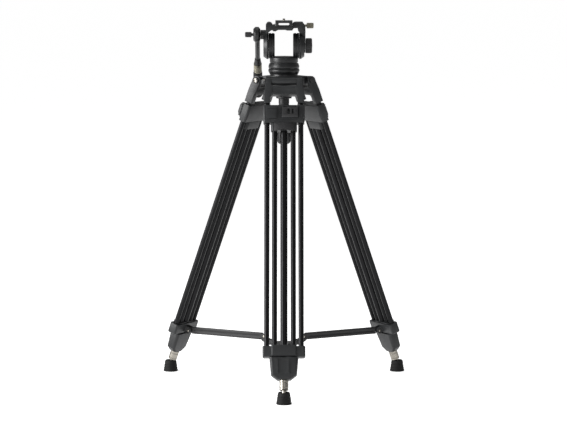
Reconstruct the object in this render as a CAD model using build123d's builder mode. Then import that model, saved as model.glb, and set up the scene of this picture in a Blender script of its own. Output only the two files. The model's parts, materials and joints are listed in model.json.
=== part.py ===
from build123d import *

import os
from math import atan2, cos, hypot, radians, sin

# Video tripod: three twin-tube legs in three sections with flip-lever clamps, a mid-level
# spreader, a 75 mm bowl and a two-drum fluid head with one pan bar.
# Millimetres, +Z up. The floor is Z = 0 and the front leg points towards -Y.

# ---- Stance -----------------------------------------------------------------------------
leg_azimuths = {"front": -90.0, "right": 30.0, "left": 150.0}
hinge_radius = 53.0          # leg hinge, from the pan axis
hinge_height = 745.0
foot_radius = 331.0          # ball joint of a foot, from the pan axis
ball_height = 18.0           # ball joint of a foot, above the floor

# ---- Fits -------------------------------------------------------------------------------
glue_gap = 0.05              # between pieces of one rigid group
pin_gap = 0.06               # running fit of a shaft or pin
slide_gap = 0.35             # tubes in their guides, and faces that turn past each other

# ---- Leg hinge and crown ----------------------------------------------------------------
barrel_width = 61.0          # crown lug, along the hinge
barrel_r = 10.0
bolt_r = 4.0
bolt_head_r = 7.5
bolt_head_h = 4.5
crown_top = 755.0
ball_centre = 756.0
ball_r = 37.5                # 75 mm bowl
bowl_seat_r = ball_r + slide_gap
crown_ring_r = 45.0
crown_shell_r = 44.5
crown_ring_low = 737.0
bowl_hole_r = 24.0
bubble_azimuth = 210.0
bubble_radius = 53.0
bubble_r = 7.0
bubble_top = 747.0
bubble_boss_r = 10.5

# ---- Leg tubes and castings, measured down the leg from the hinge ------------------------
outer_tube_x = 40.8
outer_tube_r = 6.25
inner_tube_x = 22.3
inner_tube_r = 6.25
centre_tube_r = 8.5
tube_wall = 1.2
yoke_half = 44.0             # at the hinge
prong_out = 49.0             # the yoke widens to this at its feet
ear_r = 10.5                 # rounded top and half thickness of the yoke
web_top = 14.8
web_low = 36.0
prong_low = 58.3
prong_half = 7.6
outer_tube_top = 38.0
collar_top = 63.9
collar_low = 99.8
collar_rim_low = 107.9
collar_half = 51.0
collar_depth = 11.5          # half thickness
rim_depth = 9.8
shoulder_top = 659.0
shoulder_low = 685.0
shoulder_half = 50.7
shoulder_depth = 12.0
shoulder_round = 5.0
shoulder_bevel = 2.0
boot_top = 686.5
boot_low = 739.0
boot_waist = 728.0
boot_half_top = 34.3
boot_half_low = 30.5
boot_depth = 13.5
slider_top = 108.9
slider_low = 127.9
slider_half = 31.5
slider_depth = 9.5
ferrule_r = 10.9
ferrule_low = 763.7
ball_neck_r = 5.2
foot_ball_r = 8.0
foot_r = 18.5
foot_top_r = 14.2
foot_height = 28.5
foot_bevel = 1.0

# ---- Clamp levers -------------------------------------------------------------------------
lever_left = -5.0
lever_right = 33.5
lever_top = 66.5
lever_low = 98.5
lever_pin_r = 2.5
lever_pin_down = 71.5
lever_stand = 4.0            # pivot height above the collar face
lever_thick = 7.0
lever_lug = 4.0              # width of each of the lever's two hinge lugs
lever_sweep = 8.8            # pocket in the collar for the turning lugs
slider_lever_half = 24.0
slider_lever_top = 109.9
slider_lever_low = 131.9
slider_pin_r = 1.8
slider_pin_down = slider_top + 5
slider_pin_out = slider_depth + 1.5
slider_barrel_r = 3.0
slider_barrel_half = 12.0

# ---- Spreader -------------------------------------------------------------------------------
arm_pivot_down = 673.0
arm_pivot_in = 22.0
arm_pin_r = 3.0
arm_height = 16.5
arm_width = 9.0
arm_tip_height = 12.0
hub_pin_radius = 53.0
hub_disc_r = 30.0
hub_disc_top = 11.0          # below the hub pins
hub_disc_low = 19.0
hub_ear_out = 7.0            # past the hub pin
hub_ear_t = 3.0

# ---- Fluid head ------------------------------------------------------------------------------
pan_gap_height = 773.5       # parting line between the fixed base and the turning housing
pan_spindle_r = 8.0
turret_top = 803.0
turret_r = 34.6
tilt_height = 829.0
drum_r = 31.0
drum_inner = 22.4            # half the window between the drums
drum_outer = 37.2
flange_r = 32.6
flange_inner = drum_outer + slide_gap
flange_outer = 50.0
arm_outer = 52.5             # outer face of the right side arm
tilt_shaft_r = 6.0
floor_low = 868.5
floor_top = 876.6
holder_top = 887.0
holder_half_y = 36.0
plate_half_x = 21.0
plate_half_y = 42.0
plate_top = 890.0
plate_deck = 4.8
plate_web = 1.0              # under the channel
channel_half = 13.3
camera_screw_r = 3.175       # quarter-inch thread
camera_screw_proud = 5.3
camera_screw_neck = 2.6      # captive screw, thinner where it passes the deck
camera_thread_up = 0.3       # thread starts this far above the deck
screw_head_r = 8.0
screw_head_h = 2.4
screw_seat = 1.9             # deck left above the screw head
lock_knob_z = 878.0
lock_knob_r = 7.0
drag_knob_r = 18.5
drag_knob_out = 69.0
pan_lock_z = 791.0

# ---- Pan bar ---------------------------------------------------------------------------------
bar_x = -64.7
bar_z = 856.0                # bar clamp axis
bar_lean = 45.0              # from straight down towards the rear
rosette_r = 11.5
rosette_face = -57.4
eye_r = 19.0
eye_width = 17.0
bar_r = 6.0
bar_knob_r = 6.6
collet_start = 86.0          # distances along the bar from the clamp axis
collet_end = 104.0
sleeve_end = 132.0
grip_end = 222.0
bar_end = 214.0
collet_r = 9.0
sleeve_r = 10.0
grip_r = 11.2

# ---- Bowl clamp --------------------------------------------------------------------------------
washer_in = 45.0             # spherical radii about the ball centre
washer_out = 49.0
washer_rim_r = 31.0
washer_hole_r = 16.0
stud_r = 6.0
stud_low = 640.0
clamp_body_r = 13.0
clamp_flange_r = 19.0
clamp_knob_r = 16.5
clamp_knob_top = 623.0
clamp_knob_low = 588.0

lean = atan2(foot_radius - hinge_radius, hinge_height - ball_height)
leg_length = hypot(foot_radius - hinge_radius, hinge_height - ball_height)

# The origin is the middle of the whole object's box: the front foot reaches furthest forward,
# and the rounded corners of the rear legs' shoulders reach furthest back.
rear_side = cos(radians(30))
rear_out = sin(radians(30)) * cos(lean)
front_reach = foot_radius + foot_r - foot_bevel * (foot_r - foot_top_r) / foot_height
rear_reach = (
    sin(radians(30)) * (hinge_radius + (shoulder_low - shoulder_bevel) * sin(lean))
    + rear_side * (shoulder_half - shoulder_round)
    + rear_out * (shoulder_depth - shoulder_round)
    + shoulder_round * hypot(rear_side, rear_out)
)
axis_y = (front_reach - rear_reach) / 2      # pan axis

arm_pivot_radius = hinge_radius + arm_pivot_down * sin(lean) - arm_pivot_in * cos(lean)
arm_pivot_height = hinge_height - arm_pivot_down * cos(lean) - arm_pivot_in * sin(lean)


def save(piece, name):
    """Label a finished piece and write it as its own STEP file."""
    piece.label = name
    os.makedirs("parts", exist_ok=True)
    export_step(piece, f"parts/{name}.step")


def level(height):
    """Horizontal plane on the pan axis."""
    return Plane((0, axis_y, height))


def spoke(azimuth, height=0.0):
    """Horizontal plane on the pan axis, its X turned to an azimuth."""
    turn = radians(azimuth)
    return Plane((0, axis_y, height), x_dir=(cos(turn), sin(turn), 0))


def leg_frame(azimuth):
    """Leg's own plane: X along the hinge, Y inwards, Z up the leg, origin on the hinge."""
    turn = radians(azimuth)
    out_x, out_y = cos(turn), sin(turn)
    return Plane(
        (hinge_radius * out_x, axis_y + hinge_radius * out_y, hinge_height),
        x_dir=(-out_y, out_x, 0),
        z_dir=(-sin(lean) * out_x, -sin(lean) * out_y, cos(lean)),
    )


def front_of(frame, outward=0.0):
    """Plane facing along -Y of a frame, sketched in its X and Z."""
    return Plane(frame.origin - frame.y_dir * outward, x_dir=frame.x_dir, z_dir=-frame.y_dir)


def side_of(frame, across=0.0):
    """Plane facing along +X of a frame, sketched in its Y and Z."""
    return Plane(frame.origin + frame.x_dir * across, x_dir=frame.y_dir, z_dir=frame.x_dir)


def across_leg(frame, down):
    """Cross-section plane at a distance down the leg."""
    return frame.offset(-down)


def sideways(hand, across, height):
    """Upright plane facing left (-1) or right (+1) of the head, sketched with its Y up."""
    return Plane((hand * across, axis_y, height), x_dir=(0, hand, 0), z_dir=(hand, 0, 0))


def tube_pair(frame, spacing, radius, top, low):
    """Two parallel leg tubes."""
    with BuildPart() as pair:
        with BuildSketch(across_leg(frame, low)):
            with Locations((-spacing, 0), (spacing, 0)):
                Circle(radius)
                Circle(radius - tube_wall, mode=Mode.SUBTRACT)
        extrude(amount=low - top)
    return pair.part


def tube_bores(frame, spacing, radius, top, low):
    """Solid rods that cut the bores of a pair of tubes."""
    with BuildPart() as bores:
        with BuildSketch(across_leg(frame, low)):
            with Locations((-spacing, 0), (spacing, 0)):
                Circle(radius)
        extrude(amount=low - top)
    return bores.part


# ---- Leg section one ----------------------------------------------------------------------------
def leg_yoke(frame):
    outer_bores = tube_bores(frame, outer_tube_x, outer_tube_r + glue_gap, outer_tube_top, prong_low)
    with BuildPart() as yoke:
        with BuildSketch(side_of(frame, -prong_out)):
            Circle(ear_r)
            with Locations((0, -prong_low / 2)):
                Rectangle(2 * ear_r, prong_low)
        extrude(amount=2 * prong_out)
        ends = yoke.faces().sort_by(Axis((0, 0, 0), frame.x_dir))
        chamfer([*ends[0].edges(), *ends[-1].edges()], 1.5)
        with BuildSketch(front_of(frame, -2 * ear_r)):
            with BuildLine():
                Polyline(
                    (-yoke_half, 2 * ear_r),
                    (-yoke_half, -ear_r / 2),
                    (-prong_out, -web_low + 2),
                    (-prong_out, -prong_low),
                    (prong_out, -prong_low),
                    (prong_out, -web_low + 2),
                    (yoke_half, -ear_r / 2),
                    (yoke_half, 2 * ear_r),
                    close=True,
                )
            make_face()
        extrude(amount=4 * ear_r, mode=Mode.INTERSECT)
        with BuildSketch(front_of(frame, -2 * ear_r)):
            with Locations((0, ear_r)):
                Rectangle(barrel_width + 2 * slide_gap, 2 * (ear_r + web_top))
        extrude(amount=4 * ear_r, mode=Mode.SUBTRACT)
        arch = outer_tube_x - prong_half
        with BuildSketch(front_of(frame, -2 * ear_r)) as arch_profile:
            with Locations((0, -(web_low + prong_low))):
                Rectangle(2 * arch, 2 * prong_low)
            fillet(arch_profile.vertices().group_by(Axis.Z)[-1], 6)
        extrude(amount=4 * ear_r, mode=Mode.SUBTRACT)
        with BuildSketch(front_of(frame, ear_r)):
            with Locations((0, -(web_top + web_low) / 2)):
                RectangleRounded(2 * arch - 8, web_low - web_top - 9, 2)
        extrude(amount=-1.5, mode=Mode.SUBTRACT)
        add(outer_bores, mode=Mode.SUBTRACT)
        with BuildSketch(side_of(frame, -prong_out)):
            Circle(bolt_r + pin_gap)
        extrude(amount=2 * prong_out, mode=Mode.SUBTRACT)
    return yoke.part


def shoulder(frame):
    """Casting at the foot of the outer tubes, with the spreader arm's pivot lug behind it."""
    outer_bores = tube_bores(frame, outer_tube_x, outer_tube_r + glue_gap, 0, shoulder_low - 5)
    inner_bores = tube_bores(frame, inner_tube_x, inner_tube_r + slide_gap, 0, leg_length)
    with BuildPart() as block:
        with BuildSketch(across_leg(frame, shoulder_low)):
            RectangleRounded(2 * shoulder_half, 2 * shoulder_depth, shoulder_round)
        extrude(amount=shoulder_low - shoulder_top)
        chamfer(block.faces().sort_by(Axis((0, 0, 0), frame.z_dir))[0].edges(), shoulder_bevel)
        with BuildSketch(across_leg(frame, shoulder_low - 2)):
            with Locations((0, -4)):
                RectangleRounded(60, 2 * shoulder_depth, 4)
        extrude(amount=shoulder_low - shoulder_top)
        lug_x = arm_width / 2 + slide_gap
        with BuildSketch(side_of(frame, -lug_x - 5)):
            with Locations((arm_pivot_in, -arm_pivot_down)):
                Circle(8)
            with Locations((arm_pivot_in / 2 + 3, -arm_pivot_down)):
                Rectangle(arm_pivot_in - 6, 16)
        extrude(amount=2 * lug_x + 10)
        with BuildSketch(front_of(frame, -shoulder_depth)):
            with Locations((0, -arm_pivot_down)):
                Rectangle(2 * lug_x, 60)
        extrude(amount=-40, mode=Mode.SUBTRACT)
        add(outer_bores, mode=Mode.SUBTRACT)
        add(inner_bores, mode=Mode.SUBTRACT)
        with BuildSketch(across_leg(frame, leg_length)):
            Circle(centre_tube_r + slide_gap)
        extrude(amount=leg_length, mode=Mode.SUBTRACT)
        with BuildSketch(side_of(frame, -lug_x - 5)):
            with Locations((arm_pivot_in, -arm_pivot_down)):
                Circle(arm_pin_r + glue_gap)
        extrude(amount=2 * lug_x + 10, mode=Mode.SUBTRACT)
    with BuildPart() as pin:
        with BuildSketch(side_of(frame, -lug_x - 6)):
            with Locations((arm_pivot_in, -arm_pivot_down)):
                Circle(arm_pin_r)
        extrude(amount=2 * lug_x + 12)
    return Compound([block.part.solid(), pin.part.solid()])


# ---- Leg section two ----------------------------------------------------------------------------
def leg_collar(frame):
    """Carriage that slides on the outer tubes and carries the middle tubes."""
    outer_bores = tube_bores(frame, outer_tube_x, outer_tube_r + slide_gap, 0, leg_length)
    inner_bores = tube_bores(frame, inner_tube_x, inner_tube_r + glue_gap, collar_top + 6, leg_length)
    with BuildPart() as collar:
        with BuildSketch(across_leg(frame, collar_low)):
            RectangleRounded(2 * collar_half, 2 * collar_depth, 6)
        extrude(amount=collar_low - collar_top)
        with BuildSketch(across_leg(frame, collar_rim_low)):
            RectangleRounded(2 * collar_half - 3, 2 * rim_depth, 5)
        extrude(amount=collar_rim_low - collar_low)
        pad_x = (lever_left - collar_half) / 2 - 2
        with BuildSketch(front_of(frame, collar_depth)):
            with Locations((pad_x, -(collar_top + collar_low) / 2 - 1.5)):
                RectangleRounded(24, collar_low - collar_top - 6, 3)
            with Locations((collar_half - 9, -(collar_top + collar_low) / 2 - 1.5)):
                RectangleRounded(13, collar_low - collar_top - 6, 3)
        extrude(amount=4)
        with BuildSketch(front_of(frame, collar_depth + 4)):
            with Locations((pad_x, -(collar_top + 10))):
                Rectangle(40, 1.6)
        extrude(amount=-1.4, mode=Mode.SUBTRACT)
        with BuildSketch(side_of(frame, lever_left + lever_lug)):
            with Locations((-collar_depth - lever_stand / 2, -lever_pin_down)):
                Rectangle(lever_stand + 4, 9)
        extrude(amount=lever_right - lever_left - 2 * lever_lug)
        for start in (lever_left - slide_gap, lever_right - lever_lug):
            with BuildSketch(side_of(frame, start)):
                with Locations((-collar_depth - lever_stand, -lever_pin_down)):
                    Circle(lever_sweep)
            extrude(amount=lever_lug + slide_gap, mode=Mode.SUBTRACT)
        with BuildSketch(side_of(frame, lever_left)):
            with Locations((-collar_depth - lever_stand, -lever_pin_down)):
                Circle(lever_pin_r + glue_gap)
        extrude(amount=lever_right - lever_left, mode=Mode.SUBTRACT)
        add(outer_bores, mode=Mode.SUBTRACT)
        add(inner_bores, mode=Mode.SUBTRACT)
    with BuildPart() as pin:
        with BuildSketch(side_of(frame, lever_left + 0.5)):
            with Locations((-collar_depth - lever_stand, -lever_pin_down)):
                Circle(lever_pin_r)
        extrude(amount=lever_right - lever_left - 1)
    return Compound([collar.part.solid(), pin.part.solid()])


def collar_lever(frame):
    """Flip lever on the collar's outer face, hinged at its top edge."""
    pivot = (-collar_depth - lever_stand, -lever_pin_down)
    skin = -collar_depth - lever_stand - 4
    middle = (lever_left + lever_right) / 2
    with BuildPart() as lever:
        with BuildSketch(side_of(frame, lever_left)):
            with BuildLine():
                Polyline(
                    (skin + 2, -lever_top),
                    (skin - lever_thick + 4, -lever_top - 1),
                    (skin - lever_thick, -lever_top - 8),
                    (skin - lever_thick, -lever_low + 6),
                    (skin - lever_thick + 3, -lever_low),
                    (skin + 1, -lever_low + 2),
                    (skin - 2, -lever_low + 12),
                    (skin - 1, -lever_pin_down - 8),
                    (pivot[0] - 1, -lever_pin_down - 5),
                    (pivot[0] + 3, -lever_pin_down - 2),
                    (pivot[0] + 2.4, -lever_pin_down + 2.4),
                    close=True,
                )
            make_face()
        extrude(amount=lever_right - lever_left)
        with BuildSketch(front_of(frame, 0)):
            with Locations((middle, -lever_pin_down)):
                Rectangle(lever_right - lever_left - 2 * lever_lug + 2 * slide_gap, 13)
        extrude(amount=-2 * pivot[0] - 5, mode=Mode.SUBTRACT)
        with BuildSketch(front_of(frame, 0)):
            with Locations((middle - 3, -(lever_top + lever_low) / 2 - 2)):
                RectangleRounded(6, 13, 1.5)
            with Locations((middle + 7, -(lever_top + lever_low) / 2 - 2)):
                RectangleRounded(4, 13, 1.5)
        extrude(amount=3 * lever_low, mode=Mode.SUBTRACT)
        with BuildSketch(side_of(frame, lever_left)):
            with Locations(pivot):
                Circle(lever_pin_r + pin_gap)
        extrude(amount=lever_right - lever_left, mode=Mode.SUBTRACT)
    return lever.part


def boot(frame):
    """Casting at the foot of the middle tubes, guiding the centre tube."""
    inner_bores = tube_bores(frame, inner_tube_x, inner_tube_r + glue_gap, 0, boot_waist - 12)
    with BuildPart() as cast:
        with BuildSketch(across_leg(frame, boot_waist)):
            RectangleRounded(2 * boot_half_low, 2 * boot_depth - 3, 7)
        with BuildSketch(across_leg(frame, boot_top)):
            RectangleRounded(2 * boot_half_top, 2 * boot_depth, 7)
        loft()
        with BuildSketch(across_leg(frame, boot_low)):
            RectangleRounded(33, 22, 7)
        with BuildSketch(across_leg(frame, boot_waist)):
            RectangleRounded(2 * boot_half_low, 2 * boot_depth - 3, 7)
        loft()
        with BuildSketch(front_of(frame, boot_depth - 2)):
            with Locations((-15, -(boot_top + boot_waist) / 2), (11, -(boot_top + boot_waist) / 2)):
                RectangleRounded(3.5, boot_waist - boot_top - 8, 1.5)
        extrude(amount=3.2)
        add(inner_bores, mode=Mode.SUBTRACT)
        with BuildSketch(across_leg(frame, leg_length)):
            Circle(centre_tube_r + slide_gap)
        extrude(amount=leg_length, mode=Mode.SUBTRACT)
    return cast.part


# ---- Leg section three --------------------------------------------------------------------------
def slider_block(frame):
    """Carriage of the centre tube, sliding on the middle tubes."""
    inner_bores = tube_bores(frame, inner_tube_x, inner_tube_r + slide_gap, 0, leg_length)
    with BuildPart() as block:
        with BuildSketch(across_leg(frame, slider_low)):
            RectangleRounded(2 * slider_half, 2 * slider_depth, 7)
        extrude(amount=slider_low - slider_top)
        with BuildSketch(side_of(frame, -slider_barrel_half)):
            with Locations((-slider_pin_out, -slider_pin_down)):
                Circle(slider_barrel_r)
            with Locations((-slider_pin_out + 2, -slider_pin_down)):
                Rectangle(4, 2 * slider_barrel_r)
        extrude(amount=2 * slider_barrel_half)
        add(inner_bores, mode=Mode.SUBTRACT)
        with BuildSketch(across_leg(frame, leg_length)):
            Circle(centre_tube_r + glue_gap)
        extrude(amount=leg_length - slider_top - 4, mode=Mode.SUBTRACT)
        with BuildSketch(side_of(frame, -slider_lever_half)):
            with Locations((-slider_pin_out, -slider_pin_down)):
                Circle(slider_pin_r + glue_gap)
        extrude(amount=2 * slider_lever_half, mode=Mode.SUBTRACT)
    with BuildPart() as pin:
        with BuildSketch(side_of(frame, -slider_lever_half + 1)):
            with Locations((-slider_pin_out, -slider_pin_down)):
                Circle(slider_pin_r)
        extrude(amount=2 * slider_lever_half - 2)
    return Compound([block.part.solid(), pin.part.solid()])


def slider_lever(frame):
    """V-fronted flip lever of the slider block."""
    back = slider_depth + 0.5
    with BuildPart() as lever:
        with BuildSketch(across_leg(frame, slider_lever_low)):
            with BuildLine():
                Polyline(
                    (-slider_lever_half, -back),
                    (-slider_lever_half, -back - 5),
                    (0, -back - 10),
                    (slider_lever_half, -back - 5),
                    (slider_lever_half, -back),
                    close=True,
                )
            make_face()
        extrude(amount=slider_lever_low - slider_lever_top)
        with BuildSketch(front_of(frame, 0)):
            with BuildLine():
                Polyline(
                    (-slider_lever_half - 1, -slider_lever_low),
                    (-slider_lever_half - 1, -slider_lever_low + 1),
                    (0, -slider_lever_low + 5),
                    (slider_lever_half + 1, -slider_lever_low + 1),
                    (slider_lever_half + 1, -slider_lever_low),
                    close=True,
                )
            make_face()
        extrude(amount=40, mode=Mode.SUBTRACT)
        with BuildSketch(side_of(frame, -slider_barrel_half - slide_gap)):
            with Locations((-slider_pin_out, -slider_pin_down)):
                Circle(slider_barrel_r + 1.2)
            with Locations((-slider_pin_out + 3, -slider_pin_down)):
                Rectangle(6, 2 * slider_barrel_r + 5)
        extrude(amount=2 * (slider_barrel_half + slide_gap), mode=Mode.SUBTRACT)
        with BuildSketch(side_of(frame, -slider_lever_half - 1)):
            with BuildLine():
                Polyline(
                    (-slider_pin_out + 1.2, -slider_pin_down + 0.7),
                    (-slider_pin_out - 4.6, -slider_pin_down + 4.2),
                    (-slider_pin_out + 1.2, -slider_pin_down + 4.2),
                    close=True,
                )
            make_face()
        extrude(amount=2 * slider_lever_half + 2, mode=Mode.SUBTRACT)
        with BuildSketch(side_of(frame, -slider_lever_half)):
            with Locations((-slider_pin_out, -slider_pin_down)):
                Circle(slider_pin_r + pin_gap)
        extrude(amount=2 * slider_lever_half, mode=Mode.SUBTRACT)
    return lever.part


def centre_tube(frame):
    with BuildPart() as tube:
        with BuildSketch(across_leg(frame, boot_low)):
            Circle(centre_tube_r)
            Circle(centre_tube_r - tube_wall, mode=Mode.SUBTRACT)
        extrude(amount=boot_low - slider_top - 5)
    return tube.part


def foot_stud(frame):
    """Turned ferrule, neck and ball at the end of the centre tube."""
    with BuildPart() as stud:
        with BuildSketch(across_leg(frame, ferrule_low)):
            Circle(ferrule_r)
        extrude(amount=ferrule_low - boot_low - 0.6)
        chamfer(stud.edges(), 1.2)
        with BuildSketch(across_leg(frame, leg_length)):
            Circle(ball_neck_r)
        extrude(amount=leg_length - ferrule_low)
        with BuildSketch(across_leg(frame, boot_low + 1)):
            Circle(centre_tube_r - tube_wall - glue_gap)
        extrude(amount=30)
        with BuildSketch(side_of(frame, 0)):
            with Locations((0, -leg_length)):
                Circle(foot_ball_r)
                with Locations((foot_ball_r / 2, 0)):
                    Rectangle(foot_ball_r, 2 * foot_ball_r, mode=Mode.SUBTRACT)
        revolve(axis=Axis(frame.from_local_coords(Vector(0, 0, -leg_length)), frame.z_dir))
    return stud.part


def rubber_foot(azimuth):
    """Round pad on the ball, flat on the floor."""
    turn = radians(azimuth)
    middle = Plane(
        (foot_radius * cos(turn), axis_y + foot_radius * sin(turn), 0),
        x_dir=(cos(turn), sin(turn), 0),
    )
    with BuildPart() as foot:
        with BuildSketch(middle):
            Circle(foot_r)
        with BuildSketch(middle.offset(foot_height)):
            Circle(foot_top_r)
        loft()
        fillet(foot.edges().sort_by(Axis.Z)[-1], 2)
        chamfer(foot.edges().sort_by(Axis.Z)[0], foot_bevel)
        with Locations(Location((middle.origin.X, middle.origin.Y, ball_height))):
            Sphere(foot_ball_r + slide_gap, mode=Mode.SUBTRACT)
        with BuildSketch(middle.offset(ball_height)):
            Circle(ball_neck_r)
        with BuildSketch(middle.offset(foot_height + 1)):
            Circle(ball_neck_r + 7)
        loft(mode=Mode.SUBTRACT)
    return foot.part


# ---- Spreader -----------------------------------------------------------------------------------
def spreader_arm(azimuth):
    """Channel-section arm from a leg's lug to the hub, with the pin that lies in the hub."""
    plane = spoke(azimuth, arm_pivot_height)
    side = front_of(plane, -arm_width / 2)
    span = arm_pivot_radius - hub_pin_radius
    middle = (arm_pivot_radius + hub_pin_radius) / 2
    with BuildPart() as arm:
        with BuildSketch(side):
            with Locations((middle, 0)):
                Rectangle(span - 16, arm_height)
            with Locations((arm_pivot_radius, 0), (hub_pin_radius, 0)):
                Circle(arm_tip_height / 2)
            with Locations((middle, 0)):
                Rectangle(span, arm_tip_height)
        extrude(amount=arm_width)
        with BuildSketch(side):
            with Locations((middle, 0)):
                SlotOverall(span - 30, 4)
        extrude(amount=1.6, mode=Mode.SUBTRACT)
        with BuildSketch(side.offset(arm_width)):
            with Locations((middle, 0)):
                SlotOverall(span - 30, 4)
        extrude(amount=-1.6, mode=Mode.SUBTRACT)
        with BuildSketch(side):
            with Locations((arm_pivot_radius, 0)):
                Circle(arm_pin_r + pin_gap)
            with Locations((hub_pin_radius, 0)):
                Circle(arm_pin_r + glue_gap)
        extrude(amount=arm_width, mode=Mode.SUBTRACT)
    reach = arm_width / 2 + slide_gap + hub_ear_t
    with BuildPart() as pin:
        with BuildSketch(front_of(plane, -reach)):
            with Locations((hub_pin_radius, 0)):
                Circle(arm_pin_r)
        extrude(amount=2 * reach)
    return Compound([arm.part.solid(), pin.part.solid()])


def spreader_hub():
    """Low disc with a pair of ears for each arm; the arms' pins lie in the ears' open notches."""
    with BuildPart() as hub:
        with BuildSketch(level(arm_pivot_height - hub_disc_low)):
            Circle(hub_disc_r)
        extrude(amount=hub_disc_low - hub_disc_top)
        chamfer(hub.edges(), 1.5)
        for azimuth in leg_azimuths.values():
            plane = spoke(azimuth, arm_pivot_height)
            for hand in (-1, 1):
                face = arm_width / 2 + slide_gap
                start = face if hand > 0 else -face - hub_ear_t
                low = -hub_disc_low
                with BuildSketch(front_of(plane, start)):
                    with BuildLine():
                        Polyline(
                            (hub_disc_r - 12, low),
                            (hub_disc_r - 12, -hub_disc_top),
                            (hub_pin_radius - 8, -arm_pin_r - 2),
                            (hub_pin_radius, -arm_pin_r - slide_gap),
                            (hub_pin_radius + arm_pin_r + slide_gap, -arm_pin_r - slide_gap),
                            (hub_pin_radius + arm_pin_r + slide_gap, 1),
                            (hub_pin_radius + hub_ear_out, 0),
                            (hub_pin_radius + hub_ear_out, -10),
                            (hub_disc_r + 10, low),
                            close=True,
                        )
                    make_face()
                extrude(amount=hub_ear_t)
    return hub.part


# ---- Crown --------------------------------------------------------------------------------------
def crown():
    """Bowl casting with three hinge lugs and a shoulder for the bubble level."""
    with BuildPart() as cast:
        with Locations(Location((0, axis_y, ball_centre))):
            Sphere(crown_shell_r)
        with BuildSketch(level(ball_centre)):
            Circle(2 * crown_ring_r)
        extrude(amount=crown_shell_r + 1, mode=Mode.SUBTRACT)
        with BuildSketch(level(crown_ring_low)):
            Circle(crown_ring_r)
        extrude(amount=crown_top - crown_ring_low)
        with BuildSketch(spoke(bubble_azimuth, crown_ring_low)):
            with Locations((bubble_radius, 0)):
                Circle(bubble_boss_r)
        extrude(amount=bubble_top - crown_ring_low)
        for azimuth in leg_azimuths.values():
            plane = spoke(azimuth, hinge_height)
            with BuildSketch(plane.offset(crown_top - hinge_height)):
                with BuildLine():
                    Polyline(
                        (hinge_radius - 4 * barrel_r, -barrel_width / 2 - 5),
                        (hinge_radius - 2 * barrel_r, -barrel_width / 2),
                        (hinge_radius - 2, -barrel_width / 2),
                        (hinge_radius - 2, barrel_width / 2),
                        (hinge_radius - 2 * barrel_r, barrel_width / 2),
                        (hinge_radius - 4 * barrel_r, barrel_width / 2 + 5),
                        close=True,
                    )
                make_face()
            extrude(amount=crown_ring_low - crown_top)
            with BuildSketch(front_of(plane, -barrel_width / 2)):
                with Locations((hinge_radius, 0)):
                    Circle(barrel_r)
            extrude(amount=barrel_width)
        with BuildSketch(level(ball_centre)):
            Circle(3 * crown_ring_r)
        extrude(amount=40, mode=Mode.SUBTRACT)
        with Locations(Location((0, axis_y, ball_centre))):
            Sphere(bowl_seat_r, mode=Mode.SUBTRACT)
        with BuildSketch(level(ball_centre - 2 * crown_shell_r)):
            Circle(bowl_hole_r)
        extrude(amount=2 * crown_shell_r, mode=Mode.SUBTRACT)
        for azimuth in leg_azimuths.values():
            plane = spoke(azimuth, hinge_height)
            with BuildSketch(front_of(plane, -barrel_width)):
                with Locations((hinge_radius, 0)):
                    Circle(bolt_r + glue_gap)
            extrude(amount=2 * barrel_width, mode=Mode.SUBTRACT)
        with BuildSketch(spoke(bubble_azimuth, bubble_top)):
            with Locations((bubble_radius, 0)):
                Circle(bubble_r + glue_gap)
        extrude(amount=-5, mode=Mode.SUBTRACT)
    return cast.part


def hinge_bolts():
    """One bolt through each hinge, with a round head at one end and a cap at the other."""
    bolts = []
    reach = yoke_half + slide_gap
    for azimuth in leg_azimuths.values():
        frame = leg_frame(azimuth)
        with BuildPart() as bolt:
            with BuildSketch(side_of(frame, -reach)):
                Circle(bolt_r)
            extrude(amount=2 * reach)
            with BuildSketch(side_of(frame, reach)):
                Circle(bolt_head_r)
            extrude(amount=bolt_head_h)
            chamfer(bolt.faces().sort_by(Axis((0, 0, 0), frame.x_dir))[-1].edges(), 1)
            with BuildSketch(side_of(frame, reach + bolt_head_h)):
                RegularPolygon(3.2, 6)
            extrude(amount=-2.5, mode=Mode.SUBTRACT)
            with BuildSketch(side_of(frame, -reach)):
                Circle(bolt_head_r - 1.5)
            extrude(amount=-bolt_head_h + 1)
        bolts.append(bolt.part.solid())
    return Compound(bolts)


def bubble_level():
    with BuildPart() as level_vial:
        with BuildSketch(spoke(bubble_azimuth, bubble_top - 5 + glue_gap)):
            with Locations((bubble_radius, 0)):
                Circle(bubble_r)
        extrude(amount=6)
        fillet(level_vial.edges().sort_by(Axis.Z)[-1], 0.8)
    return level_vial.part


# ---- Bowl clamp ---------------------------------------------------------------------------------
def clamp_washer():
    """Dished washer under the bowl."""
    with BuildPart() as washer:
        with Locations(Location((0, axis_y, ball_centre))):
            Sphere(washer_out)
            Sphere(washer_in, mode=Mode.SUBTRACT)
        with BuildSketch(level(ball_centre - washer_out - 1)):
            Circle(washer_rim_r)
            Circle(washer_hole_r, mode=Mode.SUBTRACT)
        extrude(amount=washer_out - 10, mode=Mode.INTERSECT)
    return washer.part


def half_ball():
    """Levelling ball with its flange and the stud of the bowl clamp."""
    with BuildPart() as ball:
        with Locations(Location((0, axis_y, ball_centre))):
            Sphere(ball_r)
        with BuildSketch(level(ball_centre)):
            Circle(2 * ball_r)
        extrude(amount=ball_r + 1, mode=Mode.SUBTRACT)
        with BuildSketch(level(ball_centre)):
            Circle(34)
        extrude(amount=4)
        with BuildSketch(level(stud_low)):
            Circle(stud_r)
        extrude(amount=ball_centre - stud_low - 20)
    return ball.part


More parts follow.
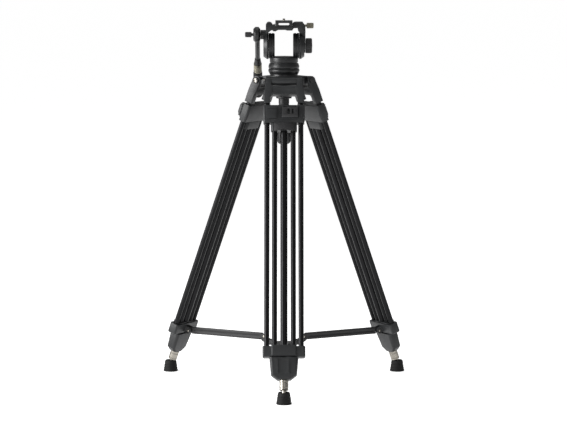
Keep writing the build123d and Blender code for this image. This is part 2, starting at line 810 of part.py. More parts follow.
def clamp_handle():
    """Threaded grip below the bowl that pulls the ball down."""
    with BuildPart() as handle:
        with BuildSketch(level(clamp_knob_low)):
            Circle(clamp_knob_r)
        extrude(amount=clamp_knob_top - clamp_knob_low)
        fillet(handle.edges().sort_by(Axis.Z)[0], 7)
        chamfer(handle.edges().sort_by(Axis.Z)[-1], 2.5)
        with BuildSketch(level(clamp_knob_top - 5)):
            Circle(clamp_body_r)
        extrude(amount=ball_centre - washer_out - clamp_knob_top - 2)
        with BuildSketch(level(ball_centre - washer_out - 8)):
            Circle(clamp_flange_r)
        extrude(amount=14)
        with Locations(Location((0, axis_y, ball_centre))):
            Sphere(washer_out + slide_gap, mode=Mode.SUBTRACT)
        with BuildSketch(level(stud_low - 3)):
            Circle(stud_r + pin_gap)
        extrude(amount=ball_centre - stud_low, mode=Mode.SUBTRACT)
    return handle.part


# ---- Fluid head -----------------------------------------------------------------------------------
def revolved(outline):
    """Solid of revolution about the pan axis from (radius, height) corners."""
    with BuildPart() as turned:
        with BuildSketch(Plane((0, axis_y, 0), x_dir=(1, 0, 0), z_dir=(0, -1, 0))):
            with BuildLine():
                Polyline((0, outline[0][1]), *outline, (0, outline[-1][1]), close=True)
            make_face()
        revolve(axis=Axis((0, axis_y, 0), (0, 0, 1)))
    return turned.part


def pan_base():
    base_low = ball_centre + 4 + glue_gap
    ring = revolved([
        (34.8, base_low),
        (36.2, base_low + 3),
        (38.2, base_low + 7.5),
        (38.2, base_low + 10),
        (36.8, pan_gap_height - slide_gap),
    ])
    with BuildPart() as base:
        add(ring)
        with BuildSketch(level(pan_gap_height - 2)):
            Circle(pan_spindle_r)
        extrude(amount=turret_top - 8 - pan_gap_height)
    return base.part


def head_housing():
    """Turning body: round turret below, two fluid drums above, with a window between them."""
    turret = revolved([
        (36.2, pan_gap_height),
        (37.7, pan_gap_height + 3),
        (37.7, pan_gap_height + 6),
        (35.6, pan_gap_height + 12.5),
        (33.4, pan_gap_height + 13.5),
        (33.4, pan_gap_height + 15.2),
        (turret_r, pan_gap_height + 16),
        (turret_r, turret_top - 3),
        (turret_r - 2.5, turret_top),
    ])
    with BuildPart() as housing:
        add(turret)
        for hand in (-1, 1):
            inner = sideways(hand, drum_inner, tilt_height)
            with BuildSketch(inner):
                Circle(drum_r - 1.2)
            extrude(amount=drum_outer - drum_inner)
            with BuildSketch(inner.offset(2.5)):
                Circle(drum_r)
            extrude(amount=4.5)
            with BuildSketch(inner.offset(9)):
                Circle(drum_r)
            extrude(amount=drum_outer - drum_inner - 9)
            with BuildSketch(inner.offset(1)):
                with Locations((0, (turret_top - tilt_height) - 1)):
                    Rectangle(20, 18)
            extrude(amount=turret_r - drum_inner - 3)
        lock = Plane((0, axis_y + turret_r - 6, pan_lock_z), x_dir=(1, 0, 0), z_dir=(0, 1, 0))
        with BuildSketch(lock):
            Circle(6.5)
        extrude(amount=9)
        with BuildSketch(lock.offset(-10)):
            Circle(3 + pin_gap)
        extrude(amount=40, mode=Mode.SUBTRACT)
        with BuildSketch(level(pan_gap_height - 5)):
            Circle(pan_spindle_r + pin_gap)
        extrude(amount=turret_top - pan_gap_height - 2, mode=Mode.SUBTRACT)
        for hand in (-1, 1):
            bore = sideways(hand, drum_inner + 3, tilt_height)
            with BuildSketch(bore):
                Circle(tilt_shaft_r + pin_gap)
            extrude(amount=drum_outer, mode=Mode.SUBTRACT)
    return housing.part


def tilt_shafts():
    shafts = []
    for hand in (-1, 1):
        start = sideways(hand, drum_inner + 3.5, tilt_height)
        with BuildPart() as shaft:
            with BuildSketch(start):
                Circle(tilt_shaft_r)
            extrude(amount=flange_outer - drum_inner - 6)
        shafts.append(shaft.part.solid())
    return Compound(shafts)


def tilt_frame():
    """Outer drum flanges, side arms and the open holder of the camera plate."""
    with BuildPart() as frame:
        for hand in (-1, 1):
            inner = sideways(hand, flange_inner, tilt_height)
            with BuildSketch(inner):
                Circle(flange_r)
            extrude(amount=4)
            with BuildSketch(inner.offset(4)):
                Circle(flange_r)
            with BuildSketch(inner.offset(flange_outer - flange_inner)):
                Circle(flange_r - 6)
            loft()
            with BuildSketch(sideways(hand, flange_inner, tilt_height + 10)):
                with Locations((0, 18)):
                    Rectangle(30, 36)
            extrude(amount=6.5 if hand < 0 else arm_outer - flange_inner)
        with BuildSketch(sideways(1, flange_outer - 1, tilt_height)):
            Circle(drag_knob_r - 1)
        extrude(amount=arm_outer - flange_outer + 1)
        with BuildSketch(Plane((0, axis_y - holder_half_y, 0), x_dir=(1, 0, 0), z_dir=(0, -1, 0))):
            with BuildLine():
                Polyline(
                    (-44, 862), (-44, holder_top - 6), (-41, holder_top - 1.5), (-37, holder_top),
                    (-32, holder_top - 1), (-29, holder_top - 4), (-27.5, floor_top + 3),
                    (-plate_half_x - slide_gap, floor_top + 5), (-plate_half_x - slide_gap, floor_top),
                    (plate_half_x + slide_gap, floor_top), (plate_half_x + slide_gap, holder_top - 4),
                    (plate_half_x + 3, holder_top - 1), (plate_half_x + 8, holder_top),
                    (arm_outer - 7, holder_top), (arm_outer - 1.5, holder_top - 8),
                    (arm_outer, 866), (arm_outer, 862), (37.6, 862),
                    (34.5, 866), (33, 873), (24, 872.5), (20, 867), (8, 867), (3, floor_low),
                    (-14, floor_low), (-20, 865), (-25, 865), (-29, 868), (-33, 866), (-37.6, 862),
                    close=True,
                )
            make_face()
        extrude(amount=-2 * holder_half_y)
        boss = sideways(-1, 40, bar_z)
        with BuildSketch(boss):
            Circle(rosette_r)
        extrude(amount=-rosette_face - 40)
        with BuildSketch(boss.offset(-8)):
            Circle(3.5 + pin_gap)
        extrude(amount=60, mode=Mode.SUBTRACT)
        with BuildSketch(sideways(1, 40, lock_knob_z)):
            Circle(3 + pin_gap)
        extrude(amount=30, mode=Mode.SUBTRACT)
        for hand in (-1, 1):
            bore = sideways(hand, drum_inner, tilt_height)
            with BuildSketch(bore):
                Circle(tilt_shaft_r + glue_gap)
            extrude(amount=flange_outer - drum_inner - 2, mode=Mode.SUBTRACT)
    return frame.part


def camera_plate():
    """Quick-release plate with a channel through it, and a deck slotted for the camera screw."""
    rail_low = floor_top + slide_gap
    with BuildPart() as plate:
        with BuildSketch(level(rail_low)):
            RectangleRounded(2 * plate_half_x, 2 * plate_half_y, 3)
        extrude(amount=plate_top - rail_low)
        channel_low = rail_low + plate_web
        channel_top = plate_top - plate_deck
        with BuildSketch(Plane((0, axis_y, 0), x_dir=(1, 0, 0), z_dir=(0, -1, 0))):
            with Locations((0, (channel_low + channel_top) / 2)):
                RectangleRounded(2 * channel_half, channel_top - channel_low, 3)
        extrude(amount=2 * plate_half_y, both=True, mode=Mode.SUBTRACT)
        with BuildSketch(level(plate_top)):
            SlotOverall(44, 2 * camera_screw_r + 1.1, rotation=90)
        extrude(amount=-plate_deck - 1, mode=Mode.SUBTRACT)
        with BuildSketch(level(plate_top - screw_seat)):
            SlotOverall(53, 2 * screw_head_r + 0.8, rotation=90)
        extrude(amount=screw_seat - plate_deck - 1, mode=Mode.SUBTRACT)
        with BuildSketch(level(plate_top)):
            with GridLocations(2 * plate_half_x - 14, 2 * plate_half_y - 14, 2, 2):
                RectangleRounded(8, 12, 1.5)
        extrude(amount=-1.0, mode=Mode.SUBTRACT)
    return plate.part


def camera_screw():
    """Quarter-inch screw, its slotted head sunk in the underside of the deck."""
    head_top = plate_top - screw_seat - slide_gap
    with BuildPart() as screw:
        with BuildSketch(level(head_top - screw_head_h)):
            Circle(screw_head_r)
        extrude(amount=screw_head_h)
        chamfer(screw.edges(), 0.4)
        with BuildSketch(level(head_top - screw_head_h)):
            Rectangle(12, 1.6)
        extrude(amount=screw_head_h / 2, mode=Mode.SUBTRACT)
        with BuildSketch(level(head_top - screw_head_h / 2)):
            Circle(camera_screw_neck)
        extrude(amount=plate_top + 1 - head_top + screw_head_h / 2)
        with BuildSketch(level(plate_top + camera_thread_up)):
            Circle(camera_screw_r)
        extrude(amount=camera_screw_proud - camera_thread_up)
        chamfer(screw.edges().sort_by(Axis.Z)[-1], 0.6)
    return screw.part


def knob(plane, radius, length, neck_r, neck, flutes=0, inset=0.0):
    """Round knob on a neck; the plane's origin is the knob's inner face."""
    with BuildPart() as grip:
        with BuildSketch(plane):
            Circle(radius)
            if flutes:
                with PolarLocations(radius + 0.4, flutes):
                    Circle(1.1, mode=Mode.SUBTRACT)
        extrude(amount=length)
        if inset:
            with BuildSketch(plane.offset(length)):
                Circle(radius - 3)
            extrude(amount=-inset, mode=Mode.SUBTRACT)
        with BuildSketch(plane.offset(1)):
            Circle(neck_r)
        extrude(amount=-neck - 1)
    return grip.part


# ---- Pan bar ------------------------------------------------------------------------------------------
def bar_frame():
    """Plane on the bar clamp axis, Z along the bar away from the head."""
    turn = radians(bar_lean)
    return Plane((bar_x, axis_y, bar_z), x_dir=(1, 0, 0), z_dir=(0, sin(turn), -cos(turn)))


def bar_rod():
    """Thin rod with its round clamping eye."""
    frame = bar_frame()
    eye = sideways(-1, slide_gap - rosette_face, bar_z)
    with BuildPart() as rod:
        with BuildSketch(eye):
            Circle(eye_r - 5)
        with BuildSketch(eye.offset(4)):
            Circle(eye_r)
        loft()
        with BuildSketch(eye.offset(4)):
            Circle(eye_r)
        extrude(amount=eye_width - 9)
        with BuildSketch(eye.offset(eye_width - 5)):
            Circle(eye_r)
        with BuildSketch(eye.offset(eye_width)):
            Circle(eye_r - 5)
        loft()
        with BuildSketch(frame.offset(10)):
            Circle(bar_r)
        extrude(amount=bar_end - 10)
        with BuildSketch(eye.offset(-5)):
            Circle(3.5 + pin_gap)
        extrude(amount=eye_width + 10, mode=Mode.SUBTRACT)
    return rod.part


def bar_sleeve(start_r, end_r, start, end):
    """Round sleeve around the rod between two distances along the bar."""
    frame = bar_frame()
    with BuildPart() as sleeve:
        with BuildSketch(frame.offset(start)):
            Circle(start_r)
        with BuildSketch(frame.offset(end)):
            Circle(end_r)
        loft()
        with BuildSketch(frame.offset(start - 1)):
            Circle(bar_r + slide_gap)
        extrude(amount=end - start + 2, mode=Mode.SUBTRACT)
    return sleeve.part


def bar_grip():
    """Hand grip with a domed end, hollow for the rod."""
    frame = bar_frame()
    with BuildPart() as grip:
        with BuildSketch(frame.offset(sleeve_end + glue_gap)):
            Circle(grip_r - 0.8)
        with BuildSketch(frame.offset(sleeve_end + 14)):
            Circle(grip_r)
        loft()
        with BuildSketch(frame.offset(sleeve_end + 14)):
            Circle(grip_r)
        extrude(amount=grip_end - sleeve_end - 14)
        fillet(grip.edges().sort_by(Axis((0, 0, 0), frame.z_dir))[-1], 5)
        with BuildSketch(frame.offset(sleeve_end - 1)):
            Circle(bar_r + slide_gap)
        extrude(amount=bar_end - sleeve_end + 3, mode=Mode.SUBTRACT)
    return grip.part


# ---- Write every piece ----------------------------------------------------------------------------------
for side, azimuth in leg_azimuths.items():
    frame = leg_frame(azimuth)
    save(leg_yoke(frame), f"{side}_leg_yoke")
    save(tube_pair(frame, outer_tube_x, outer_tube_r, outer_tube_top + 0.5, shoulder_low - 5.5),
         f"{side}_outer_tubes")
    save(shoulder(frame), f"{side}_shoulder")
    save(leg_collar(frame), f"{side}_collar")
    save(collar_lever(frame), f"{side}_collar_lever")
    save(tube_pair(frame, inner_tube_x, inner_tube_r, collar_top + 6.5, boot_waist - 12.5),
         f"{side}_middle_tubes")
    save(boot(frame), f"{side}_boot")
    save(slider_block(frame), f"{side}_slider_block")
    save(slider_lever(frame), f"{side}_slider_lever")
    save(centre_tube(frame), f"{side}_centre_tube")
    save(foot_stud(frame), f"{side}_foot_stud")
    save(rubber_foot(azimuth), f"{side}_rubber_foot")
    save(spreader_arm(azimuth), f"{side}_spreader_arm")
save(spreader_hub(), "spreader_hub")
save(crown(), "crown")
save(hinge_bolts(), "hinge_bolts")
save(bubble_level(), "bubble_level")
save(clamp_washer(), "clamp_washer")
save(half_ball(), "half_ball")
save(clamp_handle(), "bowl_clamp_handle")
save(pan_base(), "pan_base")
save(head_housing(), "head_housing")
save(tilt_shafts(), "tilt_shafts")
save(tilt_frame(), "tilt_frame")
save(camera_plate(), "camera_plate")
save(camera_screw(), "camera_screw")

lock_plane = sideways(1, 55.5, lock_knob_z)
save(knob(lock_plane, lock_knob_r, 17, 3.0, 13, flutes=18), "plate_lock_knob")
drag_plane = sideways(1, arm_outer + slide_gap, tilt_height)
save(knob(drag_plane, drag_knob_r, drag_knob_out - arm_outer, 3.0, 0, flutes=24, inset=1.2),
     "tilt_drag_knob")
pan_lock_plane = Plane((0, axis_y + turret_r + 5, pan_lock_z), x_dir=(1, 0, 0), z_dir=(0, 1, 0))
save(knob(pan_lock_plane, 9, 14, 3.0, 14, flutes=12, inset=1), "pan_lock_knob")
bar_knob_plane = sideways(-1, 79, bar_z)
save(knob(bar_knob_plane, bar_knob_r, 16, 3.5, 34, flutes=16), "bar_clamp_knob")
save(bar_rod(), "bar_rod")
save(bar_sleeve(collet_r - 2, collet_r, collet_start, collet_end), "bar_collet")
save(bar_sleeve(sleeve_r, sleeve_r, collet_end + glue_gap, sleeve_end), "bar_sleeve")
save(bar_grip(), "bar_grip")
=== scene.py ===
import json
from math import asin, cos, pi, radians, sin, sqrt

import bmesh
import bpy
from mathutils import Matrix, Vector


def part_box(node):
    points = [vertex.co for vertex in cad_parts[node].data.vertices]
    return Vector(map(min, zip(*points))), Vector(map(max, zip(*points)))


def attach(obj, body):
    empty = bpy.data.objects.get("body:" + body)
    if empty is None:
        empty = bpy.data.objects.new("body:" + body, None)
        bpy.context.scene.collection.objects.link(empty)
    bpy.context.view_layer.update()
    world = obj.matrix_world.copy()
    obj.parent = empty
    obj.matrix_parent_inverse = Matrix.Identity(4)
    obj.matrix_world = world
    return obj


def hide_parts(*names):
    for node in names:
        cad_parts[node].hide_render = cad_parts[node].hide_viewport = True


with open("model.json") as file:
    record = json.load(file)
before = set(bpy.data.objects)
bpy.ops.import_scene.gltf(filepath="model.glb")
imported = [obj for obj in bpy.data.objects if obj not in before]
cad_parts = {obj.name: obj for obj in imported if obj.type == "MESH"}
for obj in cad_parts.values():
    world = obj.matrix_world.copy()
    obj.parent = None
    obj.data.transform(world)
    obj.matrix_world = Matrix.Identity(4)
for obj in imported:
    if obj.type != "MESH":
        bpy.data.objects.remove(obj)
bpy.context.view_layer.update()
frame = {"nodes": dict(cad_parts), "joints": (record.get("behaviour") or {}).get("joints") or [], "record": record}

bl_info = {
    "name": "Video Tripod",
    "version": (1, 0, 0),
    "blender": (4, 5, 0),
    "location": "3D View > Sidebar > Tripod",
    "description": "Finished pieces and materials of a twin-tube video tripod with a fluid head",
    "category": "Object",
}

MM = 0.001
LEGS = ("front", "left", "right")
JOINTS = {joint["name"]: joint for joint in frame["joints"]}
BODY_OF = {
    node: body for body, nodes in frame["record"]["behaviour"]["bodies"].items() for node in nodes
}

HINGE_BOLT_REACH = 44.45                # mm, from the middle of a leg hinge to its ear's outer face
FOOT_BALL_R = 8.0                       # mm
WASHER_DISH_R = 49.35 * MM              # the clamp grip's top runs on the washer at this radius
SLEEVE_ENDS = (104.1 * MM, 131.9 * MM)  # along the pan bar, from its rosette
GRIP_ENDS = (132.1 * MM, 221.9 * MM)
FLOOR_SIZE = 160.0                      # m
SKY_STRENGTH = 0.36
LAMP_SIZE = 2.0                         # m
LAMP_AIM = (0, 0.08, 0.5)
LENS_LENGTH = 171.4                     # mm on a 36 mm sensor
CAMERA_DISTANCE = 6.6                   # m in front of the pan axis
CAMERA_HEIGHT = 1.083                   # m
CAMERA_DIP = 5.74                       # degrees below level


def linear(code):
    """Linear RGBA from an sRGB hex value."""
    channels = [int(code[i:i + 2], 16) / 255 for i in (1, 3, 5)]
    return (*(c / 12.92 if c <= 0.04045 else ((c + 0.055) / 1.055) ** 2.4 for c in channels), 1.0)


# ---- Sizes and colours a user would change ---------------------------------------------------

class TripodSizes(bpy.types.PropertyGroup):
    casting_edge: bpy.props.FloatProperty(
        name="Casting Edge", description="Rounding on the edges of the castings",
        default=0.9 * MM, min=0.1 * MM, max=2 * MM, subtype="DISTANCE", unit="LENGTH")
    machined_edge: bpy.props.FloatProperty(
        name="Machined Edge", description="Broken edge on the machined head parts",
        default=0.6 * MM, min=0.1 * MM, max=1.5 * MM, subtype="DISTANCE", unit="LENGTH")
    knurl_pitch: bpy.props.FloatProperty(
        name="Knurl Pitch", description="Distance from one knurl to the next",
        default=1.8 * MM, min=1 * MM, max=3 * MM, subtype="DISTANCE", unit="LENGTH")
    grip_ribs: bpy.props.IntProperty(
        name="Grip Ribs", description="Number of rings moulded into the hand grip",
        default=9, min=3, max=16)
    foot_grooves: bpy.props.IntProperty(
        name="Foot Grooves", description="Number of grooves around each rubber foot",
        default=3, min=0, max=5)
    round_sides: bpy.props.IntProperty(
        name="Round Sides", description="Sides of the turned pieces",
        default=56, min=24, max=96)


class TripodColours(bpy.types.PropertyGroup):
    casting: bpy.props.FloatVectorProperty(
        name="Casting", description="Powder coat on the castings",
        default=linear("#232425"), size=4, min=0, max=1, subtype="COLOR")
    tube: bpy.props.FloatVectorProperty(
        name="Tube", description="Black anodising on the leg tubes",
        default=linear("#1E1E1F"), size=4, min=0, max=1, subtype="COLOR")
    nylon: bpy.props.FloatVectorProperty(
        name="Nylon", description="Moulded levers and knobs",
        default=linear("#202021"), size=4, min=0, max=1, subtype="COLOR")
    head: bpy.props.FloatVectorProperty(
        name="Head", description="Satin paint on the fluid head",
        default=linear("#131415"), size=4, min=0, max=1, subtype="COLOR")
    rubber: bpy.props.FloatVectorProperty(
        name="Rubber", description="Feet and hand grip",
        default=linear("#0C0C0C"), size=4, min=0, max=1, subtype="COLOR")
    steel: bpy.props.FloatVectorProperty(
        name="Steel", description="Turned bolts, pins and foot studs",
        default=linear("#96928A"), size=4, min=0, max=1, subtype="COLOR")
    champagne: bpy.props.FloatVectorProperty(
        name="Champagne", description="Anodised lock knob and bar sleeve",
        default=linear("#726F63"), size=4, min=0, max=1, subtype="COLOR")
    vial: bpy.props.FloatVectorProperty(
        name="Vial", description="Liquid in the bubble level",
        default=linear("#D9DE7A"), size=4, min=0, max=1, subtype="COLOR")


# ---- Materials -------------------------------------------------------------------------------

def add_node(tree, kind, settings=None, links=None):
    """Add a node, with its settings and its inputs as values or as sockets to link."""
    made = tree.nodes.new(kind)
    for key, value in (settings or {}).items():
        setattr(made, key, value)
    for key, value in (links or {}).items():
        if isinstance(value, bpy.types.NodeSocket):
            tree.links.new(value, made.inputs[key])
        else:
            made.inputs[key].default_value = value
    return made


def new_material(name):
    material = bpy.data.materials.new(name)
    material.use_nodes = True
    tree = material.node_tree
    tree.nodes.clear()
    where = add_node(tree, "ShaderNodeTexCoord").outputs["Object"]
    return material, tree, where


def finish_material(tree, shader):
    add_node(tree, "ShaderNodeOutputMaterial", links={"Surface": shader.outputs["BSDF"]})


def scaled(colour, share):
    """A darker or lighter share of a colour."""
    return (*(min(1, channel * share) for channel in colour[:3]), 1)


def powder_coat(colour):
    """Powder coat on cast aluminium: baked polyester with a fine pebbled skin and a satin gloss."""
    material, tree, where = new_material("powder_coated_cast_aluminium")
    pebble = add_node(tree, "ShaderNodeTexNoise", links={
        "Vector": where, "Scale": 1 / (0.7 * MM), "Detail": 3}).outputs["Fac"]
    cloud = add_node(tree, "ShaderNodeTexNoise", links={
        "Vector": where, "Scale": 1 / (22 * MM), "Detail": 2.0}).outputs["Fac"]
    bump = add_node(tree, "ShaderNodeBump", links={
        "Height": pebble, "Strength": 0.35, "Distance": 0.12 * MM})
    tone = add_node(tree, "ShaderNodeMix", {"data_type": "RGBA"}, {
        0: cloud, 6: scaled(colour, 0.86), 7: scaled(colour, 1.16)}).outputs[2]
    gloss = add_node(tree, "ShaderNodeMapRange", links={
        "Value": cloud, "To Min": 0.36, "To Max": 0.5}).outputs["Result"]
    shader = add_node(tree, "ShaderNodeBsdfPrincipled", links={
        "Base Color": tone,
        "Roughness": gloss,
        "Normal": bump.outputs["Normal"], "IOR": 1.5, "Specular IOR Level": 0.3})
    finish_material(tree, shader)
    return material


def anodised_tube(colour, turn, name):
    """Drawn aluminium tube, anodised black: fine draw lines along it and a narrow bright streak."""
    material, tree, where = new_material(name)
    aligned = add_node(tree, "ShaderNodeMapping", links={
        "Vector": where, "Rotation": turn}).outputs["Vector"]
    drawn = add_node(tree, "ShaderNodeMapping", links={
        "Vector": aligned, "Scale": (1, 1, 0.01)}).outputs["Vector"]
    lines = add_node(tree, "ShaderNodeTexNoise", links={
        "Vector": drawn, "Scale": 1 / (0.5 * MM), "Detail": 3}).outputs["Fac"]
    cloud = add_node(tree, "ShaderNodeTexNoise", links={
        "Vector": aligned, "Scale": 1 / (60 * MM), "Detail": 2.0}).outputs["Fac"]
    bump = add_node(tree, "ShaderNodeBump", links={
        "Height": lines, "Strength": 0.12, "Distance": 0.05 * MM})
    tone = add_node(tree, "ShaderNodeMix", {"data_type": "RGBA"}, {
        0: cloud, 6: scaled(colour, 0.9), 7: scaled(colour, 1.1)}).outputs[2]
    gloss = add_node(tree, "ShaderNodeMapRange", links={
        "Value": lines, "To Min": 0.26, "To Max": 0.4}).outputs["Result"]
    shader = add_node(tree, "ShaderNodeBsdfPrincipled", links={
        "Base Color": tone,
        "Metallic": 0.9,
        "Roughness": gloss,
        "Normal": bump.outputs["Normal"]})
    finish_material(tree, shader)
    return material


def moulded_nylon(colour):
    """Glass-filled nylon, injection moulded: an even matt black with a spark-eroded grain."""
    material, tree, where = new_material("glass_filled_nylon_moulded")
    grain = add_node(tree, "ShaderNodeTexNoise", links={
        "Vector": where, "Scale": 1 / (0.45 * MM), "Detail": 2}).outputs["Fac"]
    cloud = add_node(tree, "ShaderNodeTexNoise", links={
        "Vector": where, "Scale": 1 / (14 * MM), "Detail": 2.0}).outputs["Fac"]
    bump = add_node(tree, "ShaderNodeBump", links={
        "Height": grain, "Strength": 0.3, "Distance": 0.07 * MM})
    tone = add_node(tree, "ShaderNodeMix", {"data_type": "RGBA"}, {
        0: cloud, 6: scaled(colour, 0.88), 7: scaled(colour, 1.14)}).outputs[2]
    gloss = add_node(tree, "ShaderNodeMapRange", links={
        "Value": cloud, "To Min": 0.42, "To Max": 0.55}).outputs["Result"]
    shader = add_node(tree, "ShaderNodeBsdfPrincipled", links={
        "Base Color": tone,
        "Roughness": gloss,
        "Normal": bump.outputs["Normal"], "IOR": 1.53, "Specular IOR Level": 0.28})
    finish_material(tree, shader)
    return material


def satin_paint(colour):
    """Satin enamel on die-cast magnesium: smoother than the legs, with a soft broad highlight."""
    material, tree, where = new_material("satin_enamel_on_die_casting")
    peel = add_node(tree, "ShaderNodeTexNoise", links={
        "Vector": where, "Scale": 1 / (1.1 * MM), "Detail": 2}).outputs["Fac"]
    cloud = add_node(tree, "ShaderNodeTexNoise", links={
        "Vector": where, "Scale": 1 / (18 * MM), "Detail": 2.0}).outputs["Fac"]
    bump = add_node(tree, "ShaderNodeBump", links={
        "Height": peel, "Strength": 0.18, "Distance": 0.06 * MM})
    tone = add_node(tree, "ShaderNodeMix", {"data_type": "RGBA"}, {
        0: cloud, 6: scaled(colour, 0.9), 7: scaled(colour, 1.12)}).outputs[2]
    gloss = add_node(tree, "ShaderNodeMapRange", links={
        "Value": cloud, "To Min": 0.3, "To Max": 0.42}).outputs["Result"]
    shader = add_node(tree, "ShaderNodeBsdfPrincipled", links={
        "Base Color": tone,
        "Roughness": gloss,
        "Normal": bump.outputs["Normal"], "IOR": 1.5, "Specular IOR Level": 0.3,
        "Coat Weight": 0.06, "Coat Roughness": 0.3})
    finish_material(tree, shader)
    return material


def moulded_rubber(colour):
    """Vulcanised rubber: dull, slightly dusty, with a fine pitted skin."""
    material, tree, where = new_material("vulcanised_rubber_moulded")
    pits = add_node(tree, "ShaderNodeTexNoise", links={
        "Vector": where, "Scale": 1 / (0.6 * MM), "Detail": 4}).outputs["Fac"]
    dust = add_node(tree, "ShaderNodeTexNoise", links={
        "Vector": where, "Scale": 1 / (9 * MM), "Detail": 3}).outputs["Fac"]
    bump = add_node(tree, "ShaderNodeBump", links={
        "Height": pits, "Strength": 0.4, "Distance": 0.1 * MM})
    tone = add_node(tree, "ShaderNodeMix", {"data_type": "RGBA"}, {
        0: dust, 6: scaled(colour, 0.85), 7: scaled(colour, 1.3)}).outputs[2]
    gloss = add_node(tree, "ShaderNodeMapRange", links={
        "Value": dust, "To Min": 0.62, "To Max": 0.8}).outputs["Result"]
    shader = add_node(tree, "ShaderNodeBsdfPrincipled", links={
        "Base Color": tone,
        "Roughness": gloss,
        "Normal": bump.outputs["Normal"], "IOR": 1.52, "Specular IOR Level": 0.25})
    finish_material(tree, shader)
    return material


def turned_steel(colour, turn, name):
    """Turned and nickel-plated steel: bright, with lathe rings across its axis."""
    material, tree, where = new_material(name)
    aligned = add_node(tree, "ShaderNodeMapping", links={
        "Vector": where, "Rotation": turn}).outputs["Vector"]
    rings = add_node(tree, "ShaderNodeTexWave", {"bands_direction": "Z"}, {
        "Vector": aligned, "Scale": 0.314 / (0.8 * MM), "Distortion": 0.4, "Detail": 1.0}).outputs["Fac"]
    smear = add_node(tree, "ShaderNodeTexNoise", links={
        "Vector": aligned, "Scale": 1 / (5 * MM), "Detail": 3}).outputs["Fac"]
    bump = add_node(tree, "ShaderNodeBump", links={
        "Height": rings, "Strength": 0.12, "Distance": 0.04 * MM})
    tone = add_node(tree, "ShaderNodeMix", {"data_type": "RGBA"}, {
        0: smear, 6: scaled(colour, 0.88), 7: scaled(colour, 1.06)}).outputs[2]
    gloss = add_node(tree, "ShaderNodeMapRange", links={
        "Value": smear, "To Min": 0.2, "To Max": 0.36}).outputs["Result"]
    shader = add_node(tree, "ShaderNodeBsdfPrincipled", links={
        "Base Color": tone,
        "Metallic": 1.0,
        "Roughness": gloss,
        "Normal": bump.outputs["Normal"]})
    finish_material(tree, shader)
    return material


def champagne_anodised(colour):
    """Bead-blasted aluminium anodised a warm grey: a soft metallic sheen with a fine sparkle."""
    material, tree, where = new_material("bead_blasted_anodised_aluminium")
    blast = add_node(tree, "ShaderNodeTexNoise", links={
        "Vector": where, "Scale": 1 / (0.4 * MM), "Detail": 3}).outputs["Fac"]
    tone = add_node(tree, "ShaderNodeTexNoise", links={
        "Vector": where, "Scale": 1 / (6 * MM), "Detail": 2.0}).outputs["Fac"]
    bump = add_node(tree, "ShaderNodeBump", links={
        "Height": blast, "Strength": 0.25, "Distance": 0.05 * MM})
    tone = add_node(tree, "ShaderNodeMix", {"data_type": "RGBA"}, {
        0: tone, 6: scaled(colour, 0.9), 7: scaled(colour, 1.1)}).outputs[2]
    gloss = add_node(tree, "ShaderNodeMapRange", links={
        "Value": blast, "To Min": 0.34, "To Max": 0.48}).outputs["Result"]
    shader = add_node(tree, "ShaderNodeBsdfPrincipled", links={
        "Base Color": tone,
        "Metallic": 0.9,
        "Roughness": gloss,
        "Normal": bump.outputs["Normal"]})
    finish_material(tree, shader)
    return material


def level_liquid(colour):
    """Acrylic vial filled with tinted spirit: clear, wet and pale yellow-green."""
    material, tree, where = new_material("acrylic_vial_with_spirit")
    tint = add_node(tree, "ShaderNodeTexNoise", links={
        "Vector": where, "Scale": 1 / (4 * MM), "Detail": 2.0}).outputs["Fac"]
    tone = add_node(tree, "ShaderNodeMix", {"data_type": "RGBA"}, {
        0: tint, 6: scaled(colour, 0.92), 7: scaled(colour, 1.05)}).outputs[2]
    shader = add_node(tree, "ShaderNodeBsdfPrincipled", links={
        "Base Color": tone,
        "Roughness": 0.06, "IOR": 1.49, "Transmission Weight": 0.35,
        "Coat Weight": 0.6, "Coat Roughness": 0.03})
    finish_material(tree, shader)
    return material


def studio_floor():
    """Painted studio floor: even matt white."""
    material, tree, where = new_material("matt_white_studio_paint")
    paint = linear("#F8F8F8")
    roll = add_node(tree, "ShaderNodeTexNoise", links={
        "Vector": where, "Scale": 1 / (400 * MM), "Detail": 2.0}).outputs["Fac"]
    tone = add_node(tree, "ShaderNodeMix", {"data_type": "RGBA"}, {
        0: roll, 6: scaled(paint, 0.995), 7: scaled(paint, 1.0)}).outputs[2]
    shader = add_node(tree, "ShaderNodeBsdfPrincipled", links={
        "Base Color": tone,
        "Roughness": 0.95, "Specular IOR Level": 0.0,
        "Emission Color": (1, 1, 1, 1), "Emission Strength": 0.66})
    finish_material(tree, shader)
    return material


MATERIALS = {}


def axis_turn(axis):
    """Rotation that brings an axis onto Z, as a Mapping node wants it."""
    return Vector(axis).rotation_difference(Vector((0, 0, 1))).to_euler("XYZ")


def mix_materials(colours):
    down = {leg: Vector(JOINTS[f"{leg}_middle_slide"]["axis"]) for leg in LEGS}
    MATERIALS.update({
        "casting": powder_coat(colours.casting),
        "nylon": moulded_nylon(colours.nylon),
        "head": satin_paint(colours.head),
        "rubber": moulded_rubber(colours.rubber),
        "champagne": champagne_anodised(colours.champagne),
        "vial": level_liquid(colours.vial),
        "steel": turned_steel(colours.steel, (0, 0, 0), "turned_nickel_plated_steel"),
    })
    for leg in LEGS:
        turn = axis_turn(down[leg])
        MATERIALS[f"{leg}_tube"] = anodised_tube(colours.tube, turn, f"drawn_anodised_tube_{leg}")
        MATERIALS[f"{leg}_steel"] = turned_steel(colours.steel, turn, f"turned_steel_{leg}_foot")


# ---- Modelling helpers -------------------------------------------------------------------------

def start_piece(obj):
    """Make one object the only selected and the active one."""
    bpy.ops.object.select_all(action="DESELECT")
    obj.select_set(True)
    bpy.context.view_layer.objects.active = obj


def edit(obj):
    start_piece(obj)
    bpy.ops.object.mode_set(mode="EDIT")
    bpy.ops.mesh.select_all(action="SELECT")


